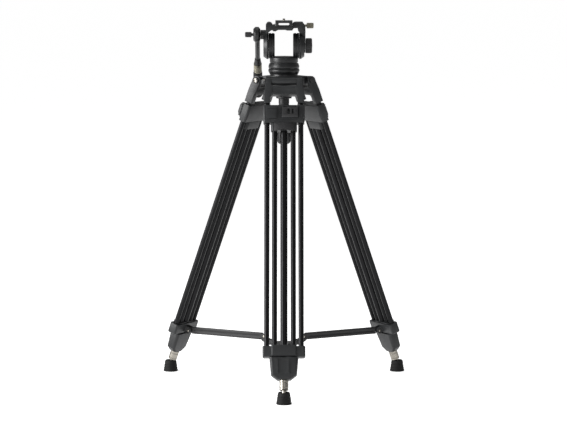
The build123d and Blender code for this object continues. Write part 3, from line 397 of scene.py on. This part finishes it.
def leave_edit():
    bpy.ops.object.mode_set(mode="OBJECT")


def apply_modifier(obj, kind, **settings):
    start_piece(obj)
    modifier = obj.modifiers.new(kind.title(), kind)
    for key, value in settings.items():
        setattr(modifier, key, value)
    bpy.ops.object.modifier_apply(modifier=modifier.name)


def finish_piece(obj, body, material, replaces=()):
    """Give a piece its material, its body and the CAD nodes it stands for."""
    if material:
        obj.data.materials.clear()
        obj.data.materials.append(MATERIALS[material])
    start_piece(obj)
    bpy.ops.object.shade_smooth_by_angle(angle=radians(32))
    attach(obj, body)
    if replaces:
        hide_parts(*replaces)
    return obj


def softened(node, material, edge, pin_material=None):
    """Copy of a CAD node with rounded edges; loose pins in it may have their own material."""
    source = frame["nodes"][node]
    mesh = source.data.copy()
    piece = bpy.data.objects.new(f"{node}_finished", mesh)
    bpy.context.scene.collection.objects.link(piece)
    edit(piece)
    bpy.ops.mesh.customdata_custom_splitnormals_clear()
    bpy.ops.mesh.remove_doubles(threshold=0.004 * MM)
    bpy.ops.mesh.dissolve_limited(angle_limit=radians(0.6))
    leave_edit()
    apply_modifier(piece, "BEVEL", width=edge, segments=2, limit_method="ANGLE",
                   angle_limit=radians(38), use_clamp_overlap=True)
    finish_piece(piece, BODY_OF[node], material, [node])
    if pin_material:
        mesh.materials.append(MATERIALS[pin_material])
        mark_small_parts(mesh)
    return piece


def mark_small_parts(mesh):
    """Give every loose part but the largest the mesh's second material."""
    work = bmesh.new()
    work.from_mesh(mesh)
    left = set(work.faces)
    islands = []
    while left:
        stack = [left.pop()]
        island = []
        while stack:
            face = stack.pop()
            island.append(face)
            near = {f for edge in face.edges for f in edge.link_faces if f in left}
            left -= near
            stack.extend(near)
        islands.append(island)
    islands.sort(key=lambda island: sum(face.calc_area() for face in island))
    for island in islands[:-1]:
        for face in island:
            face.material_index = 1
    work.to_mesh(mesh)
    work.free()


def turned(name, outline, sides):
    """Lathe a closed piece along +Z from (radius, height) steps, by extruding a disc."""
    bpy.ops.object.select_all(action="DESELECT")
    radius, height = outline[0]
    bpy.ops.mesh.primitive_circle_add(
        vertices=sides, radius=radius, fill_type="NGON", location=(0, 0, height))
    piece = bpy.context.active_object
    piece.name = name
    bpy.ops.object.transform_apply(location=True, rotation=True, scale=True)
    edit(piece)
    for new_radius, new_height in outline[1:]:
        bpy.ops.mesh.extrude_region_move(TRANSFORM_OT_translate={"value": (0, 0, new_height - height)})
        share = new_radius / radius
        bpy.ops.transform.resize(value=(share, share, 1), center_override=(0, 0, new_height))
        radius, height = new_radius, new_height
    bpy.ops.mesh.select_all(action="SELECT")
    bpy.ops.mesh.remove_doubles(threshold=0.002 * MM)
    bpy.ops.mesh.normals_make_consistent(inside=False)
    leave_edit()
    return piece


def knurl(piece, low, high, depth, inset):
    """Raise a small boss on every side face between two heights."""
    edit(piece)
    bpy.ops.mesh.select_all(action="DESELECT")
    work = bmesh.from_edit_mesh(piece.data)
    for face in work.faces:
        middle = face.calc_center_median()
        sideways = abs(face.normal.z) < 0.5
        face.select_set(sideways and low < middle.z < high and middle.xy.length > 1 * MM)
    bmesh.update_edit_mesh(piece.data)
    bpy.ops.mesh.inset(thickness=inset, depth=depth, use_individual=True)
    leave_edit()


def flute(piece, low, high, every, depth, inset):
    """Press a long groove into every few side faces between two heights."""
    edit(piece)
    bpy.ops.mesh.select_all(action="DESELECT")
    work = bmesh.from_edit_mesh(piece.data)
    sides = [f for f in work.faces if abs(f.normal.z) < 0.5 and low < f.calc_center_median().z < high]
    sides.sort(key=lambda f: Vector((1, 0)).angle_signed(f.calc_center_median().xy.normalized(), 0))
    for index, face in enumerate(sides):
        face.select_set(index % every == 0)
    bmesh.update_edit_mesh(piece.data)
    bpy.ops.mesh.inset(thickness=inset, depth=-depth, use_individual=True)
    leave_edit()


def place(piece, origin, axis, spin=0.0):
    """Move a piece modelled along +Z onto an origin and an axis, in its mesh."""
    turn = Vector((0, 0, 1)).rotation_difference(Vector(axis)).to_matrix().to_4x4()
    piece.data.transform(Matrix.Translation(Vector(origin)) @ turn @ Matrix.Rotation(spin, 4, "Z"))
    return piece


def point(name):
    return Vector(JOINTS[name]["pos_m"])


def bands(radius, low, high, count):
    """Outline steps of a plain cylinder cut into equal bands."""
    return [(radius, low + (high - low) * i / count) for i in range(count + 1)]


# ---- Operators: one for each piece or group ------------------------------------------------------

class TRIPOD_OT_leg_castings(bpy.types.Operator):
    """Round the edges of the yokes, collars, shoulders, boots and slider blocks"""
    bl_idname = "tripod.leg_castings"
    bl_label = "Leg Castings"

    def execute(self, context):
        sizes = context.scene.tripod_sizes
        for leg in LEGS:
            for part in ("leg_yoke", "boot"):
                softened(f"{leg}_{part}", "casting", sizes.casting_edge)
            for part in ("collar", "slider_block"):
                softened(f"{leg}_{part}", "casting", sizes.casting_edge, "nylon")
            softened(f"{leg}_shoulder", "casting", sizes.casting_edge, "steel")
        return {"FINISHED"}


class TRIPOD_OT_levers(bpy.types.Operator):
    """Round the edges of the clamp levers"""
    bl_idname = "tripod.levers"
    bl_label = "Clamp Levers"

    def execute(self, context):
        sizes = context.scene.tripod_sizes
        for leg in LEGS:
            softened(f"{leg}_collar_lever", "nylon", sizes.machined_edge)
            softened(f"{leg}_slider_lever", "nylon", sizes.machined_edge)
        return {"FINISHED"}


class TRIPOD_OT_tubes(bpy.types.Operator):
    """Give the leg tubes their anodised finish along each leg"""
    bl_idname = "tripod.tubes"
    bl_label = "Leg Tubes"

    def execute(self, context):
        for leg in LEGS:
            for part in ("outer_tubes", "middle_tubes", "centre_tube"):
                dress(f"{leg}_{part}", f"{leg}_tube")
        return {"FINISHED"}


def dress(node, material):
    """Give a CAD node a finished material."""
    slots = frame["nodes"][node].data.materials
    slots.clear()
    slots.append(MATERIALS[material])


class TRIPOD_OT_feet(bpy.types.Operator):
    """Turn the foot studs and mould the rubber feet"""
    bl_idname = "tripod.feet"
    bl_label = "Feet"

    def execute(self, context):
        sizes = context.scene.tripod_sizes
        for leg in LEGS:
            self.stud(leg, sizes)
            self.pad(leg, sizes)
        return {"FINISHED"}

    def stud(self, leg, sizes):
        ball = point(f"{leg}_foot_tilt")
        down = Vector(JOINTS[f"{leg}_middle_slide"]["axis"])
        outline = [
            (7.0, 66), (7.0, 38.6), (9.9, 38.6), (10.9, 37.6), (10.9, 33.5), (10.2, 32.8), (10.2, 31.4),
            (10.9, 30.7), (10.9, 20.5), (10.2, 19.8), (10.2, 18.4), (10.9, 17.7), (10.9, 15.4),
            (9.9, 14.4), (5.9, 14.4), (5.2, 13.6), (5.2, 8.5),
        ]
        outline += [
            (FOOT_BALL_R * cos(t), FOOT_BALL_R * sin(t)) for t in (asin(0.75), 0.4, 0, -0.4, -0.85, -1.3)
        ]
        steps = [(r * MM, -h * MM) for r, h in outline]
        piece = turned(f"{leg}_foot_stud_turned", steps, sizes.round_sides)
        place(piece, ball, down)
        finish_piece(piece, f"{leg}_lower", f"{leg}_steel", [f"{leg}_foot_stud"])

    def pad(self, leg, sizes):
        low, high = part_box(f"{leg}_rubber_foot")
        base_r = (high.x - low.x) / 2
        height = high.z - low.z
        top_r = base_r * 0.77
        outline = [(base_r - 2.6 * MM, 0.0), (base_r - 1.0 * MM, 0.0), (base_r, 1.0 * MM),
                   (base_r, 3.2 * MM)]
        pitch = (height - 9 * MM) / max(1, sizes.foot_grooves)
        for i in range(sizes.foot_grooves):
            z = 4.2 * MM + i * pitch
            r = base_r + (top_r - base_r) * z / height
            outline += [(r, z), (r - 0.8 * MM, z + 0.7 * MM)]
            outline += [(r - 0.9 * MM, z + 1.7 * MM), (r - 0.3 * MM, z + 2.4 * MM)]
        outline += [
            (top_r + 0.4 * MM, height - 3.6 * MM), (top_r - 0.2 * MM, height - 1.4 * MM),
            (top_r - 1.6 * MM, height), (top_r - 3.2 * MM, height),
            (8.0 * MM, height - 4 * MM), (6.6 * MM, height - 7 * MM), (6.2 * MM, height - 9 * MM),
        ]
        piece = turned(f"{leg}_rubber_foot_moulded", outline, sizes.round_sides)
        middle = (low + high) / 2
        place(piece, (middle.x, middle.y, low.z), (0, 0, 1))
        finish_piece(piece, f"{leg}_foot", "rubber", [f"{leg}_rubber_foot"])


class TRIPOD_OT_spreader(bpy.types.Operator):
    """Round the edges of the spreader arms and the hub"""
    bl_idname = "tripod.spreader"
    bl_label = "Spreader"

    def execute(self, context):
        sizes = context.scene.tripod_sizes
        for leg in LEGS:
            softened(f"{leg}_spreader_arm", "nylon", sizes.machined_edge, "steel")
        softened("spreader_hub", "nylon", sizes.machined_edge)
        return {"FINISHED"}


class TRIPOD_OT_crown(bpy.types.Operator):
    """Finish the crown, its hinge bolts and its bubble level"""
    bl_idname = "tripod.crown"
    bl_label = "Crown"

    def execute(self, context):
        sizes = context.scene.tripod_sizes
        softened("crown", "casting", sizes.casting_edge)
        softened("clamp_washer", "casting", sizes.machined_edge)
        softened("half_ball", "head", sizes.machined_edge)
        self.bolts(sizes)
        self.level(sizes)
        return {"FINISHED"}

    def bolts(self, sizes):
        reach = HINGE_BOLT_REACH
        rings = []
        for leg in LEGS:
            hinge = JOINTS[f"{leg}_leg_fold"]
            axis = Vector(hinge["axis"])
            outline = [
                (4.0, 0), (4.0, reach - 0.1), (7.4, reach - 0.1), (7.4, reach + 3.6), (6.6, reach + 4.4),
                (4.9, reach + 4.4), (4.5, reach + 3.0), (3.9, reach + 3.0), (3.9, reach + 4.0),
                (2.6, reach + 4.4), (2.4, reach + 2.6),
            ]
            steps = [(r * MM, h * MM) for r, h in outline]
            bolt = turned(f"{leg}_hinge_bolt", steps, sizes.round_sides)
            bolt.data.materials.append(MATERIALS["nylon"])
            bolt.data.materials.append(MATERIALS["steel"])
            for face in bolt.data.polygons:
                face.material_index = 1 if face.center.xy.length < 4.6 * MM else 0
            place(bolt, hinge["pos_m"], axis)
            cap_steps = [
                (4.0, -0.2), (4.0, reach), (5.9, reach), (5.9, reach + 2.2), (5.0, reach + 3.3),
                (2.0, reach + 3.5),
            ]
            cap = turned(f"{leg}_hinge_cap", [(r * MM, h * MM) for r, h in cap_steps], sizes.round_sides)
            place(cap, hinge["pos_m"], -axis)
            finish_piece(bolt, "crown", None)
            finish_piece(cap, "crown", "nylon")
            rings += [bolt, cap]
        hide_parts("hinge_bolts")

    def level(self, sizes):
        low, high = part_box("bubble_level")
        middle = (low + high) / 2
        radius = (high.x - low.x) / 2
        collar = turned("bubble_level_collar", [
            (radius * 0.9, 0), (radius, 0.4 * MM), (radius, 5.6 * MM), (radius - 0.5 * MM, high.z - low.z),
            (radius - 1.6 * MM, high.z - low.z), (radius - 1.7 * MM, 5.0 * MM),
        ], sizes.round_sides)
        place(collar, (middle.x, middle.y, low.z), (0, 0, 1))
        finish_piece(collar, "crown", "steel", ["bubble_level"])
        dome_r = radius - 1.75 * MM
        dome = turned("bubble_level_vial", [
            (dome_r, 4.6 * MM), (dome_r, 5.1 * MM), (dome_r * 0.8, 5.6 * MM), (dome_r * 0.45, 5.9 * MM),
            (dome_r * 0.1, 6.0 * MM),
        ], sizes.round_sides)
        place(dome, (middle.x, middle.y, low.z), (0, 0, 1))
        finish_piece(dome, "crown", "vial")


class TRIPOD_OT_bowl_clamp(bpy.types.Operator):
    """Mould the long threaded grip under the bowl"""
    bl_idname = "tripod.bowl_clamp"
    bl_label = "Bowl Clamp"

    def execute(self, context):
        low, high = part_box("bowl_clamp_handle")
        middle = (low + high) / 2
        flange_r = (high.x - low.x) / 2
        top = high.z - low.z
        knob_r, body_r, groove = 16.5 * MM, 13.0 * MM, 0.7 * MM
        outline = [(6 * MM, 0), (11 * MM, 0.8 * MM), (14.4 * MM, 3 * MM), (knob_r, 7 * MM)]
        outline += [(knob_r, 31 * MM), (knob_r - 1.8 * MM, 34.5 * MM), (body_r, 36.5 * MM)]
        for i in range(6):
            z = (42 + i * 11) * MM
            outline += [(body_r, z), (body_r - groove, z + 0.8 * MM)]
            outline += [(body_r - groove, z + 2 * MM), (body_r, z + 2.8 * MM)]
        outline += [(body_r, top - 11 * MM), (flange_r, top - 9.5 * MM), (flange_r, top - 1.2 * MM)]
        dish_centre = top + sqrt(WASHER_DISH_R ** 2 - flange_r ** 2)
        for r in (flange_r - 0.6 * MM, 15 * MM, 11 * MM, 7 * MM, 3 * MM):
            outline += [(r, dish_centre - sqrt(WASHER_DISH_R ** 2 - r ** 2))]
        piece = turned("bowl_clamp_grip", outline, 48)
        flute(piece, 8 * MM, 30 * MM, 4, 1.2 * MM, 0.2 * MM)
        place(piece, (middle.x, middle.y, low.z), (0, 0, 1))
        finish_piece(piece, "bowl_clamp", "nylon", ["bowl_clamp_handle"])
        return {"FINISHED"}


class TRIPOD_OT_head(bpy.types.Operator):
    """Finish the fluid head's base, housing, tilt frame and stub shafts"""
    bl_idname = "tripod.head"
    bl_label = "Fluid Head"

    def execute(self, context):
        sizes = context.scene.tripod_sizes
        for node in ("pan_base", "head_housing", "tilt_frame"):
            softened(node, "head", sizes.machined_edge)
        dress("tilt_shafts", "steel")
        return {"FINISHED"}


class TRIPOD_OT_camera_plate(bpy.types.Operator):
    """Finish the camera plate, its rubber pads and the camera screw"""
    bl_idname = "tripod.camera_plate"
    bl_label = "Camera Plate"

    def execute(self, context):
        sizes = context.scene.tripod_sizes
        softened("camera_plate", "head", sizes.machined_edge)
        low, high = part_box("camera_plate")
        middle = (low + high) / 2
        for i, (sx, sy) in enumerate(((-1, -1), (1, -1), (-1, 1), (1, 1))):
            place_x = middle.x + sx * (high.x - middle.x - 7 * MM)
            place_y = middle.y + sy * (high.y - middle.y - 7 * MM)
            bpy.ops.object.select_all(action="DESELECT")
            bpy.ops.mesh.primitive_cube_add(size=1, location=(place_x, place_y, high.z - 0.55 * MM))
            pad = bpy.context.active_object
            pad.name = f"camera_pad_{i + 1}"
            pad.scale = (7.4 * MM, 11.4 * MM, 0.9 * MM)
            bpy.ops.object.transform_apply(location=True, rotation=True, scale=True)
            apply_modifier(
                pad, "BEVEL", width=0.35 * MM, segments=3, limit_method="ANGLE", angle_limit=radians(30))
            finish_piece(pad, "camera_plate", "rubber")
        self.screw(sizes)
        return {"FINISHED"}

    def screw(self, sizes):
        low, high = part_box("camera_screw")
        middle = (low + high) / 2
        outline = [(7.6, 0), (8.0, 0.4), (8.0, 2.0), (7.6, 2.4), (2.6, 2.4), (2.6, 4.9)]
        thread_turns, pitch = 4, 1.27
        for i in range(thread_turns):
            z = 5.0 + i * pitch
            outline += [(3.15, z), (2.65, z + pitch / 2)]
        outline += [(2.3, 9.9)]
        piece = turned("camera_screw_turned", [(r * MM, h * MM) for r, h in outline], 40)
        place(piece, (middle.x, middle.y, low.z), (0, 0, 1))
        finish_piece(piece, "camera_screw", "steel", ["camera_screw"])


class TRIPOD_OT_knobs(bpy.types.Operator):
    """Knurl the lock knobs and flute the drag knob"""
    bl_idname = "tripod.knobs"
    bl_label = "Knobs"

    def execute(self, context):
        sizes = context.scene.tripod_sizes
        self.knurled("plate_lock_knob", "champagne_metal", "champagne", (1, 0, 0), 13, 17, 7.0, 3.0, sizes)
        self.knurled("bar_clamp_knob", "lever", "nylon", (-1, 0, 0), 34, 16, 6.6, 3.5, sizes)
        self.knurled("pan_lock_knob", "lever", "nylon", (0, 1, 0), 14, 14, 9.0, 3.0, sizes)
        self.drag(sizes)
        return {"FINISHED"}

    def knurled(self, node, slot, material, axis, neck, length, radius, neck_r, sizes):
        low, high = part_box(node)
        middle = (low + high) / 2
        axis = Vector(axis)
        half = (high - low).dot(Vector([abs(c) for c in axis])) / 2
        start = middle - axis * half
        count = max(3, round(length * MM * 0.8 / sizes.knurl_pitch))
        outline = [(neck_r * MM, 0), (neck_r * MM, neck * MM), ((radius - 0.9) * MM, neck * MM),
                   ((radius - 0.35) * MM, (neck + 0.8) * MM)]
        outline += bands((radius - 0.35) * MM, (neck + 1.6) * MM, (neck + length - 1.8) * MM, count)
        end = neck + length
        outline += [((radius - 1.0) * MM, (end - 0.7) * MM), ((radius - 1.8) * MM, end * MM),
                    ((radius - 2.6) * MM, end * MM), ((radius - 3.0) * MM, (end - 0.8) * MM)]
        sides = round(2 * pi * radius * MM / sizes.knurl_pitch)
        piece = turned(f"{node}_knurled", outline, sides)
        knurl(piece, (neck + 1.5) * MM, (neck + length - 1.7) * MM, 0.32 * MM, 0.42 * MM)
        place(piece, start, axis)
        finish_piece(piece, BODY_OF[node], material, [node])

    def drag(self, sizes):
        low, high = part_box("tilt_drag_knob")
        middle = (low + high) / 2
        radius = (high.z - low.z) / 2
        length = high.x - low.x
        outline = [(radius - 1.5 * MM, 0), (radius, 1 * MM), (radius, length - 3.4 * MM),
                   (radius - 1.2 * MM, length - 1.2 * MM), (radius - 3 * MM, length - 0.5 * MM),
                   (radius - 4 * MM, length - 0.5 * MM), (radius - 4.6 * MM, length - 1.4 * MM),
                   (radius - 10 * MM, length - 0.6 * MM), (2 * MM, length)]
        piece = turned("tilt_drag_knob_moulded", outline, 72)
        flute(piece, 2 * MM, length - 4 * MM, 3, 0.9 * MM, 0.15 * MM)
        place(piece, (low.x, middle.y, middle.z), (1, 0, 0))
        finish_piece(piece, "tilt_drag", "nylon", ["tilt_drag_knob"])


class TRIPOD_OT_pan_bar(bpy.types.Operator):
    """Finish the pan bar's rod and collet, knurl its sleeve and mould its grip"""
    bl_idname = "tripod.pan_bar"
    bl_label = "Pan Bar"

    def execute(self, context):
        sizes = context.scene.tripod_sizes
        softened("bar_rod", "head", sizes.machined_edge)
        softened("bar_collet", "nylon", sizes.machined_edge)
        start = point("bar_angle")
        along = Vector(JOINTS["bar_extend"]["axis"])
        self.sleeve(start, along, sizes)
        self.grip(start, along, sizes)
        return {"FINISHED"}

    def sleeve(self, start, along, sizes):
        low, high = SLEEVE_ENDS
        radius = 10 * MM
        groove_r = radius - 0.6 * MM
        outline = [(radius - 2 * MM, low), (radius - 0.3 * MM, low), (radius, low + 0.6 * MM),
                   (radius, low + 3 * MM), (groove_r, low + 3.5 * MM), (groove_r, low + 4.5 * MM),
                   (radius - 0.35 * MM, low + 5 * MM)]
        outline += bands(radius - 0.35 * MM, low + 5.5 * MM, high - 5 * MM, 9)
        outline += [(groove_r, high - 4.5 * MM), (groove_r, high - 3.5 * MM), (radius, high - 3 * MM),
                    (radius, high - 0.6 * MM), (radius - 0.3 * MM, high), (radius - 2 * MM, high)]
        sides = round(2 * pi * radius / sizes.knurl_pitch)
        piece = turned("bar_sleeve_knurled", outline, sides)
        knurl(piece, low + 5.2 * MM, high - 4.8 * MM, 0.3 * MM, 0.4 * MM)
        place(piece, start, along)
        finish_piece(piece, "bar_lock", "champagne", ["bar_sleeve"])

    def grip(self, start, along, sizes):
        low, high = GRIP_ENDS
        radius, ring = 11.2 * MM, 0.9 * MM
        outline = [(radius - 3 * MM, low), (radius - 1.1 * MM, low), (radius - 0.8 * MM, low + 0.8 * MM),
                   (radius - 0.8 * MM, low + 5 * MM), (radius, low + 7 * MM)]
        pitch = (high - low - 24 * MM) / sizes.grip_ribs
        for i in range(sizes.grip_ribs):
            z = low + 10 * MM + i * pitch
            outline += [(radius, z), (radius - ring, z + 0.9 * MM)]
            outline += [(radius - ring, z + 2.2 * MM), (radius, z + 3.1 * MM)]
        outline += [(radius, high - 5 * MM)]
        dome = 5 * MM
        outline += [
            (radius - dome * (1 - cos(t)), high - dome * (1 - sin(t))) for t in (0.4, 0.8, 1.2, pi / 2)
        ]
        outline += [(radius - 7 * MM, high), (radius - 7.6 * MM, high - 0.6 * MM)]
        piece = turned("bar_grip_moulded", outline, sizes.round_sides)
        place(piece, start, along)
        finish_piece(piece, "bar_handle", "rubber", ["bar_grip"])


class TRIPOD_OT_stage(bpy.types.Operator):
    """Lay the white floor and set the lights and the camera"""
    bl_idname = "tripod.stage"
    bl_label = "Stage"

    def execute(self, context):
        self.floor()
        self.lights()
        self.camera()
        return {"FINISHED"}

    def floor(self):
        bpy.ops.object.select_all(action="DESELECT")
        bpy.ops.mesh.primitive_plane_add(size=FLOOR_SIZE, location=(0, 0, -0.0002))
        plane = bpy.context.active_object
        plane.name = "studio_floor"
        bpy.ops.object.transform_apply(location=True, rotation=True, scale=True)
        plane.data.materials.append(studio_floor())

    def lights(self):
        world = bpy.data.worlds.new("studio_world")
        bpy.context.scene.world = world
        world.use_nodes = True
        sky = world.node_tree.nodes["Background"]
        sky.inputs["Color"].default_value = (1, 1, 1, 1)
        sky.inputs["Strength"].default_value = SKY_STRENGTH
        bpy.context.scene.view_settings.view_transform = "Standard"
        self.softbox("key_left", (-3.0, -1.2, 1.3), 160)
        self.softbox("fill_front", (0.8, -4.2, 2.2), 10)
        self.softbox("top", (0.2, 0.3, 3.0), 14)

    def softbox(self, name, spot, power):
        lamp = bpy.data.lights.new(name, "AREA")
        lamp.size = LAMP_SIZE
        lamp.energy = power
        box = bpy.data.objects.new(name, lamp)
        bpy.context.scene.collection.objects.link(box)
        box.location = spot
        aim = Vector(LAMP_AIM) - Vector(spot)
        box.rotation_euler = aim.to_track_quat("-Z", "Y").to_euler()

    def camera(self):
        axis_y = point("pan").y
        lens = bpy.data.cameras.new("studio_camera")
        lens.sensor_width = 36.0
        lens.lens = LENS_LENGTH
        lens.clip_end = 400
        holder = bpy.data.objects.new("studio_camera", lens)
        bpy.context.scene.collection.objects.link(holder)
        holder.location = (-0.001, axis_y - CAMERA_DISTANCE, CAMERA_HEIGHT)
        holder.rotation_euler = (radians(90 - CAMERA_DIP), 0, 0)
        bpy.context.scene.camera = holder


OPERATORS = (
    TRIPOD_OT_leg_castings, TRIPOD_OT_levers, TRIPOD_OT_tubes, TRIPOD_OT_feet, TRIPOD_OT_spreader,
    TRIPOD_OT_crown, TRIPOD_OT_bowl_clamp, TRIPOD_OT_head, TRIPOD_OT_camera_plate, TRIPOD_OT_knobs,
    TRIPOD_OT_pan_bar, TRIPOD_OT_stage,
)


class TRIPOD_PT_pieces(bpy.types.Panel):
    bl_idname = "TRIPOD_PT_pieces"
    bl_label = "Video Tripod"
    bl_space_type = "VIEW_3D"
    bl_region_type = "UI"
    bl_category = "Tripod"

    def draw(self, context):
        layout = self.layout
        for group in (context.scene.tripod_sizes, context.scene.tripod_colours):
            for name in group.__annotations__:
                layout.prop(group, name)
        for operator in OPERATORS:
            layout.operator(operator.bl_idname)


CLASSES = (TripodSizes, TripodColours, *OPERATORS, TRIPOD_PT_pieces)


def register():
    for cls in CLASSES:
        bpy.utils.register_class(cls)
    bpy.types.Scene.tripod_sizes = bpy.props.PointerProperty(type=TripodSizes)
    bpy.types.Scene.tripod_colours = bpy.props.PointerProperty(type=TripodColours)


def unregister():
    del bpy.types.Scene.tripod_colours
    del bpy.types.Scene.tripod_sizes
    for cls in reversed(CLASSES):
        bpy.utils.unregister_class(cls)


def main():
    register()
    mix_materials(bpy.context.scene.tripod_colours)
    for operator in OPERATORS:
        group, name = operator.bl_idname.split(".")
        getattr(getattr(bpy.ops, group), name)()


if __name__ == "__main__":
    main()
